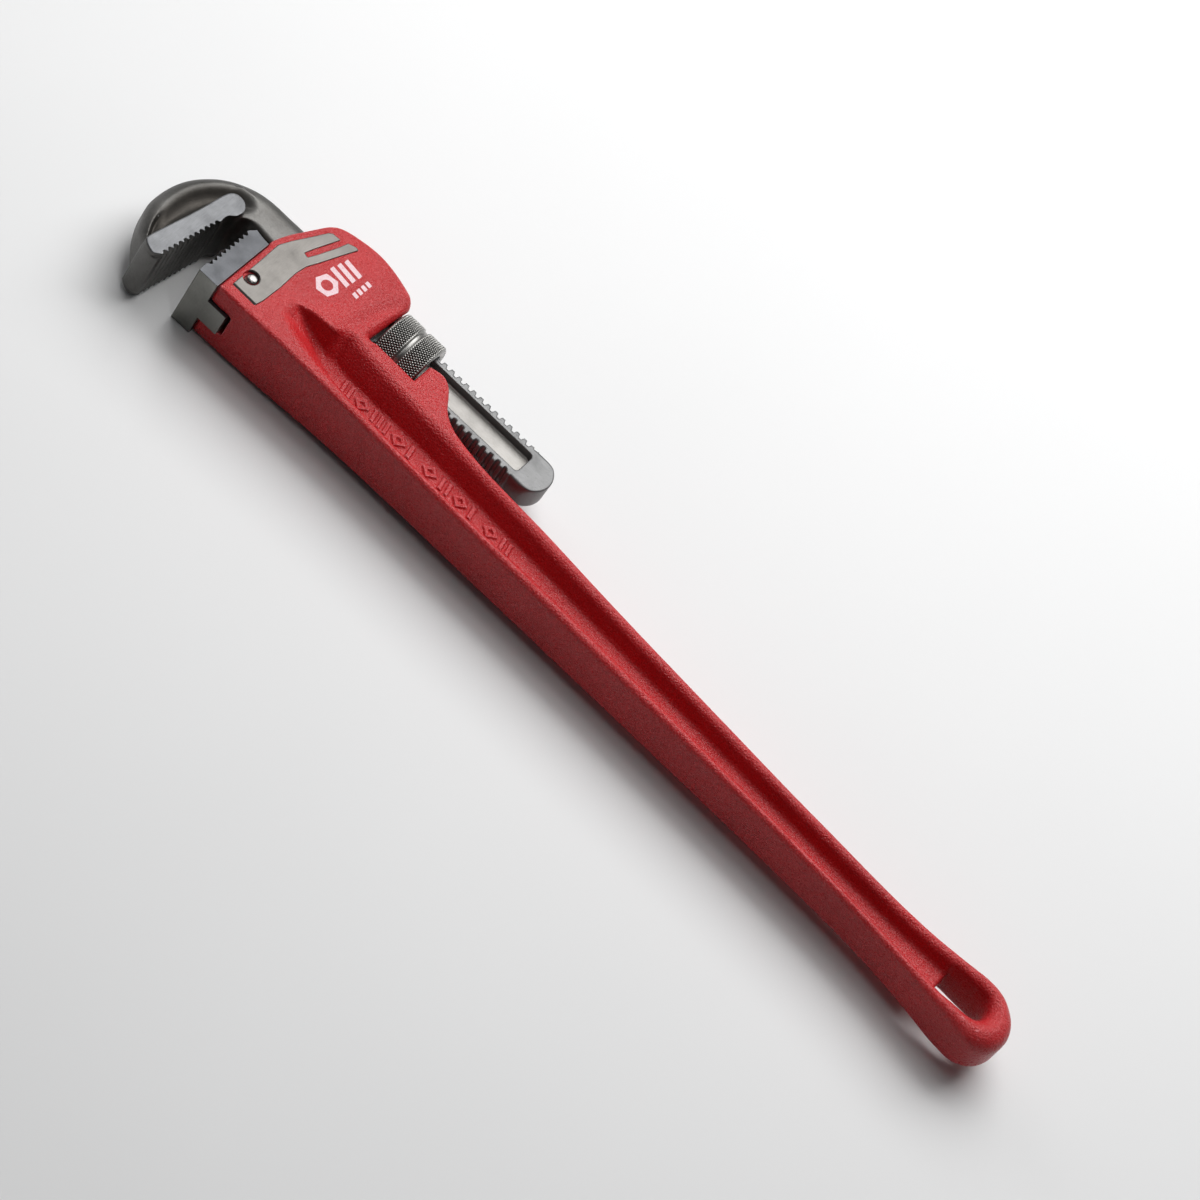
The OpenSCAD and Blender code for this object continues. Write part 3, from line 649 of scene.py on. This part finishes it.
def build_hook():
    xs = grid((-303.0, -246, 0.42), (-246, -196, 0.6), (-196, -57.4, 0.38))
    ys = grid((-53.4, 39.6, 0.42))
    n = int(math.ceil(20.0 / 0.42))
    zs = (np.arange(2 * n) - n + 0.5) * 0.42
    F = np.full((len(xs), len(ys), len(zs)), 5.0, np.float32)
    # hook and neck
    ix = np.nonzero(xs < -194)[0]
    X, Y = np.meshgrid(xs[ix], ys, indexing="ij")
    d2 = poly_sd(hook_poly, X, Y)
    db = poly_sd(boss_poly, X, Y)
    dp = poly_sd(panel_poly, X, Y)
    u = (TB - TA) / np.hypot(*(TB - TA))
    q = (X - TA[0]) * u[1] - (Y - TA[1]) * u[0]
    q = np.where(q > 0, q, -q) * np.sign((X - TA[0]) * u[1] - (Y - TA[1]) * u[0])
    inward = -q
    if np.median(inward[(X < -285) & (np.abs(Y + 20) < 5)]) < 0:
        inward = -inward
    H = interp(X, [[-303, 16.0], [-270, 16.0], [-258, 14.2], [-246, 12.7], [-240, 12.5], [-222, 12.5], [-209, 7.65], [-190, 7.65]])
    side = step((-dp + 1.5) / 10.0)
    edge_low = step((-dp) / 3.0)
    m = step((Y + 34) / 12)
    scoop = lerp(edge_low, side, m)
    H = H - 4.6 * scoop
    r_out = interp(X, [[-303, 11.0], [-262, 11.0], [-250, 12.0], [-240, 12.3]]) * np.clip((Y + 60) / 20, 0.5, 1)
    r = lerp(0.5, r_out, np.maximum(step((inward - 5) / 9), step((Y - 15) / 8)))
    neck = lerp(3.0, r_out, step((Y - 15) / 8))
    r = np.where(X > -262, lerp(r, neck, step((X + 262) / 8)), r)
    r = np.where(X > -222, lerp(r, 1.0, step((X + 222) / 12)), r)
    rb = 0.3 + 0.5 * step((inward - 3.2) / 3)
    half = zs > 0
    for k in np.nonzero(half)[0]:
        z = zs[k]
        body = rmax(d2, z - H, np.minimum(r, H - 0.3))
        boss = rmax(db, z - 19.3, rb)
        d = rmin(body, boss, 1.1)
        F[ix, :, k] = d
        F[ix, :, 2 * n - 1 - k] = d
    # shank: plain part, thread on both edges, rounded end and side pockets
    ix = np.nonzero(xs > -214)[0]
    iy = np.nonzero(ys > 8.4)[0]
    X3, Y3, Z3 = np.meshgrid(xs[ix], ys[iy], zs, indexing="ij")
    rho = np.hypot(Y3 - YS, Z3)
    ang = np.degrees(np.arctan2(Z3, Y3 - YS))
    t0 = -190.0
    lead_in = np.mod(X3 - (t0 + 1.7) - PITCH * ang / 360, PITCH)
    prof = np.clip(np.minimum(lead_in, 3.38 - lead_in) / 0.7, 0, 1)
    prof = prof * prof * (3 - 2 * prof)
    R = ROOT + (THR - ROOT) * prof
    R = np.where(X3 < t0 + 0.4, 13.65, R)
    R = np.where(X3 > -75.2, ROOT, R)
    d = (rho - R) * 0.75
    d = np.maximum(d, np.maximum(-214.5 - X3, X3 + 71.5))
    d = rmax(d, np.abs(Z3) - SH, 0.55)
    end = rmax(np.hypot(X3 + 72, Y3 - YS) - 13.4, rho - 13.65, 1.5)
    end = rmax(end, np.abs(Z3) - SH, 0.9)
    d = np.minimum(d, end)
    px = np.abs(X3 - (-132.75)) - 57.25
    py = np.abs(Y3 - YS) - 7.4
    pk = rmax(rmax(px, py, 2.4), 2.8 - np.abs(Z3), 0.7)
    old = F[ix[0]:ix[-1] + 1, iy[0]:iy[-1] + 1, :]
    d = np.minimum(old, d.astype(np.float32))
    d = rmax(d, -pk, 0.35)
    F[ix[0]:ix[-1] + 1, iy[0]:iy[-1] + 1, :] = d
    V, Q, K = nets(xs, ys, zs, F)
    ob = make("hook_jaw_forging", V, Q, [FORGED, BOSS, SHANK, FLOOR_ST])
    # which finish each face has: ground boss sides, machined shank, pocket floors
    c = V[Q].mean(1)
    e1, e2 = V[Q[:, 1]] - V[Q[:, 0]], V[Q[:, 3]] - V[Q[:, 0]]
    nn = np.cross(e1, e2)
    nn /= np.maximum(np.linalg.norm(nn, axis=1), 1e-9)[:, None]
    sd = poly_sd(panel_poly, V[:, 0], V[:, 1])
    fade = step((1.2 - sd) / 4.2) * (1 - step((V[:, 0] + 276) / 16) * 0.75)
    at = ob.data.attributes.new("sunk", "FLOAT", "POINT")
    at.data.foreach_set("value", (fade * (np.abs(V[:, 2]) > 4) * step((V[:, 1] + 46) / 6)).astype(np.float32))
    idx = np.zeros(len(Q), np.int32)
    idx[(np.abs(c[:, 2]) > 18.9) & (c[:, 0] < -255)] = 1
    idx[c[:, 0] > -207] = 2
    idx[(c[:, 0] > -207) & (np.abs(c[:, 2]) < 3.2) & (np.abs(nn[:, 2]) > 0.8) & (np.abs(c[:, 1] - YS) < 8)] = 3
    ob.data.polygons.foreach_set("material_index", idx)
    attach(ob, "hook")
    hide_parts("hook_jaw")
    return ob


# ---------------------------------------------------------------- nut

def build_nut():
    RN = 19.3
    bore = THR + 0.35
    nu = 780
    xsn = np.concatenate([np.linspace(-13.5, -12.4, 6), np.linspace(-12.3, 12.3, 150), np.linspace(12.4, 13.5, 6)])
    th = np.arange(nu) * 2 * math.pi / nu
    XX, TH = np.meshgrid(xsn, th, indexing="ij")
    base = interp(np.abs(XX), [[0, RN - 1.1], [0.7, RN - 1.0], [1.3, RN - 0.6], [1.7, RN - 0.1], [2.1, RN], [12.2, RN], [13.1, RN - 0.6], [13.5, RN - 1.3]])
    n = 80
    k = n / (2 * math.pi * RN)
    slope = math.tan(math.radians(32))
    a1 = np.mod(TH / (2 * math.pi) * n + XX * slope * k, 1)
    a2 = np.mod(TH / (2 * math.pi) * n - XX * slope * k, 1)
    g = np.maximum(np.clip(1 - np.abs(a1 - 0.5) / 0.30, 0, 1), np.clip(1 - np.abs(a2 - 0.5) / 0.30, 0, 1))
    band = step((np.abs(XX) - 2.0) / 0.4) * step((12.7 - np.abs(XX)) / 0.6)
    RR = base - 0.58 * g * band
    rows = [(XX[i], RR[i]) for i in range(len(xsn))]
    # end faces, chamfered bore
    prof_r = [RN - 2.6, bore + 1.25, bore, bore, bore + 1.25, RN - 2.6]
    prof_x = [13.5, 13.5, 12.3, -12.3, -13.5, -13.5]
    for px, pr in zip(prof_x, prof_r):
        rows.append((np.full(nu, px), np.full(nu, pr)))
    P = np.array([[x, r * np.cos(th), r * np.sin(th)] for x, r in rows])          # rows, 3, nu
    V = P.transpose(0, 2, 1).reshape(-1, 3) + [-158.2, YS, 0]
    nr = len(rows)
    i, j = np.meshgrid(np.arange(nr), np.arange(nu), indexing="ij")
    i2, j2 = (i + 1) % nr, (j + 1) % nu
    Q = np.stack([i * nu + j, i * nu + j2, i2 * nu + j2, i2 * nu + j], -1).reshape(-1, 4)
    ob = make("nut_knurled", V, Q, [NUT])
    # Groove depth of the knurl, stored for the nut material, which paints shade into the grooves with it.
    cut = np.zeros(len(V), np.float32)
    cut[:g.size] = (g * band).ravel()
    ob.data.attributes.new("cut", "FLOAT", "POINT").data.foreach_set("value", cut)
    # internal thread ridge
    m, rt = 48, 3.5
    phase = -190.0 + 0.85
    x0 = phase + PITCH * math.ceil((-158.2 - 13.5 + 2.6 - phase) / PITCH)
    hw = lambda r: 0.85 + (r - 11.6) * 0.28 - 0.3
    sec = [[-hw(ROOT + .35), ROOT + .35], [hw(ROOT + .35), ROOT + .35], [hw(bore + .6), bore + .6], [-hw(bore + .6), bore + .6]]
    K = int(m * rt)
    W = []
    for a in range(K + 1):
        ang = 2 * math.pi * a / m
        for sx, sr in sec:
            W.append([x0 + PITCH * a / m + sx, YS + sr * math.cos(ang), sr * math.sin(ang)])
    faces = [[0, 1, 2, 3], [4 * K + 3, 4 * K + 2, 4 * K + 1, 4 * K]]
    for a in range(K):
        for b in range(4):
            p0, p1 = 4 * a + b, 4 * a + (b + 1) % 4
            faces.append([p0, p0 + 4, p1 + 4, p1])
    rid = make("nut_thread", np.array(W), faces, [NUT], smooth=False)
    for o in (ob, rid):
        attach(o, "nut")
    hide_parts("nut")
    return ob


# ---------------------------------------------------------------- pin and printed mark

def build_pin():
    half = [[2.95, 0], [2.95, 18.9], [3.15, 19.4], [3.0, 19.9], [2.3, 20.5], [1.2, 20.8], [0, 20.9]]
    up = curve(half[1:], 3)
    prof = np.concatenate([up[::-1] * [1, -1], up])
    nu = 48
    th = np.arange(nu) * 2 * math.pi / nu
    V = []
    for r, z in prof[1:-1]:
        t = float(step(np.array((abs(z) - 18.9) / 0.6)))
        for a in th:
            V.append([PIN_X + r * math.cos(a) + 0.55 * t, PIN_Y + r * math.sin(a) + 0.85 * t, z])
    V = np.array(V)
    nr = len(prof) - 2
    faces = [[i * nu + j, i * nu + (j + 1) % nu, (i + 1) * nu + (j + 1) % nu, (i + 1) * nu + j] for i in range(nr - 1) for j in range(nu)]
    faces.append([j for j in range(nu)][::-1])
    faces.append([(nr - 1) * nu + j for j in range(nu)])
    ob = make("heel_pin_domed", V, faces, [PIN])
    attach(ob, "handle")
    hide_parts("heel_jaw_pin")
    return ob


def build_mark():
    """Plain printed mark on the upper side of the housing: a hexagon ring, slanted bars and a row of squares."""
    shapes = []

    def ring(cx, cy, R, r, n=6, rot=0.0, m=6):
        out = []
        for s in range(n):
            a0, a1 = rot + 2 * math.pi * s / n, rot + 2 * math.pi * (s + 1) / n
            p = [[cx + R * math.cos(a0), cy + R * math.sin(a0)], [cx + R * math.cos(a1), cy + R * math.sin(a1)]]
            for t in range(m):
                u0, u1 = t / m, (t + 1) / m
                o0 = [lerp(p[0][k], p[1][k], u0) for k in (0, 1)]
                o1 = [lerp(p[0][k], p[1][k], u1) for k in (0, 1)]
                i0 = [cx + r * math.cos(a0 + (a1 - a0) * u0), cy + r * math.sin(a0 + (a1 - a0) * u0)]
                i1 = [cx + r * math.cos(a0 + (a1 - a0) * u1), cy + r * math.sin(a0 + (a1 - a0) * u1)]
                out.append([o0, o1, i1, i0])
        return out

    def para(x0, x1, y, w, lean):
        """A bar from x0 to x1 of width w along y, leaning by lean over its length."""
        n = 4
        return [[[lerp(x0, x1, k / n), y + lean * k / n], [lerp(x0, x1, (k + 1) / n), y + lean * (k + 1) / n],
                 [lerp(x0, x1, (k + 1) / n), y + w + lean * (k + 1) / n], [lerp(x0, x1, k / n), y + w + lean * k / n]] for k in range(n)]

    shapes += ring(-208.2, 8.6, 6.9, 3.3, 6, math.radians(12))
    shapes += para(-213.6, -201.0, 17.4, 2.9, -1.4)
    shapes += para(-212.6, -200.6, 22.2, 2.9, -1.4)
    shapes += para(-211.6, -200.2, 27.0, 2.9, -1.4)
    for k in range(4):
        shapes += para(-196.6, -193.2, 15.6 + 3.6 * k, 2.3, -0.4)
    V, Q = [], []
    for q in shapes:
        area = sum(q[i][0] * q[(i + 1) % 4][1] - q[(i + 1) % 4][0] * q[i][1] for i in range(4))
        if area < 0:
            q = q[::-1]
        b = len(V)
        for x, y in q:
            h = float(side_height(np.array([x]), np.array([y]))[0])
            V.append([x, y, h + 0.05])
        for x, y in q:
            h = float(side_height(np.array([x]), np.array([y]))[0])
            V.append([x, y, h - 0.3])
        Q.append([b, b + 1, b + 2, b + 3])
        Q.append([b + 7, b + 6, b + 5, b + 4])
        for k in range(4):
            Q.append([b + k, b + 4 + k, b + 4 + (k + 1) % 4, b + (k + 1) % 4])
    ob = make("printed_mark", np.array(V), Q, [WHITE], smooth=False)
    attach(ob, "handle")
    return ob


def dress_cad():
    """CAD nodes that stay: bevelled edges and real finishes."""
    def bevel(ob, width, segs=2, angle=28):
        w = ob.modifiers.new("weld", "WELD")
        w.merge_threshold = 1e-5
        b = ob.modifiers.new("bevel", "BEVEL")
        b.width = width
        b.segments = segs
        b.limit_method = "ANGLE"
        b.angle_limit = math.radians(angle)
        b.harden_normals = False
        ob.modifiers.new("wn", "WEIGHTED_NORMAL")

    heel = NODES["heel_jaw"]
    heel.data.materials.clear()
    heel.data.materials.append(HEEL)
    heel.data.materials.append(HEEL_FRONT)
    for p in heel.data.polygons:
        c, nrm = p.center, p.normal
        p.material_index = 0 if abs(nrm.z) > 0.7 else 1
        p.use_smooth = False
    bevel(heel, 0.0003)
    for name, mat in (("flat_spring", SPRING), ("coil_spring", SPRING), ("spring_rivet", PIN)):
        o = NODES[name]
        o.data.materials.clear()
        o.data.materials.append(mat)
    bevel(NODES["flat_spring"], 0.00015, 1)


build_handle()
build_pads()
build_hook()
build_nut()
build_pin()
build_mark()
dress_cad()

# ---------------------------------------------------------------- floor, light, camera

floor_mat = Mat("studio_floor")
fc = floor_mat.ramp(floor_mat.noise(3, 2), [(0.3, (0.70, 0.70, 0.70)), (0.7, (0.715, 0.715, 0.715))])
floor_mat.set(fc, 0.9)
me = bpy.data.meshes.new("floor")
S = 6.0
me.from_pydata([(-S, -S, 0), (S, -S, 0), (S, S, 0), (-S, S, 0)], [], [(0, 1, 2, 3)])
fl = bpy.data.objects.new("floor", me)
fl.location = (0, 0, -0.0002)
me.materials.append(floor_mat.m)
bpy.context.scene.collection.objects.link(fl)

world = bpy.data.worlds.new("studio")
bpy.context.scene.world = world
world.use_nodes = True
bg = world.node_tree.nodes["Background"]
bg.inputs["Color"].default_value = (0.93, 0.96, 1.0, 1)
bg.inputs["Strength"].default_value = 0.055


def area(name, loc, target, size, power, color=(1, 1, 1)):
    ld = bpy.data.lights.new(name, "AREA")
    ld.shape = "RECTANGLE"
    ld.size, ld.size_y = size
    ld.energy = power
    ld.color = color
    ob = bpy.data.objects.new(name, ld)
    ob.location = loc
    ob.rotation_euler = (Vector(target) - Vector(loc)).to_track_quat("-Z", "Y").to_euler()
    bpy.context.scene.collection.objects.link(ob)
    return ob


area("key_back", (-0.1, 1.0, 1.25), (0, 0, 0), (1.9, 1.1), 29)
area("top", (-0.1, 0.55, 1.7), (0, 0, 0), (1.6, 0.8), 10)
area("strip", (-0.12, -0.15, 1.6), (0, 0, 0), (1.6, 0.05), 3.5)
area("left", (-1.6, 0.5, 0.9), (0, 0, 0), (1.0, 1.0), 6)

cam_data = bpy.data.cameras.new("cam")
cam_data.sensor_width = 36
cam_data.lens = 5319.1 * 36 / 1200
cam_data.clip_start = 0.05
cam_data.clip_end = 50
cam = bpy.data.objects.new("cam", cam_data)
bpy.context.scene.collection.objects.link(cam)
R = np.array([[0.7211, 0.5734, 0.3888], [0.6893, -0.5380, -0.4851], [-0.0690, 0.6179, -0.7833]])
u_, _, v_ = np.linalg.svd(R)
R = u_ @ v_
D = 2669.7
loc = (-D * R[2] + OFF) * 0.001
M = Matrix.Identity(4)
for r in range(3):
    M[r][0], M[r][1], M[r][2], M[r][3] = R[0][r], -R[1][r], -R[2][r], loc[r]
cam.matrix_world = M
bpy.context.scene.camera = cam
bpy.context.scene.view_settings.view_transform = "Standard"
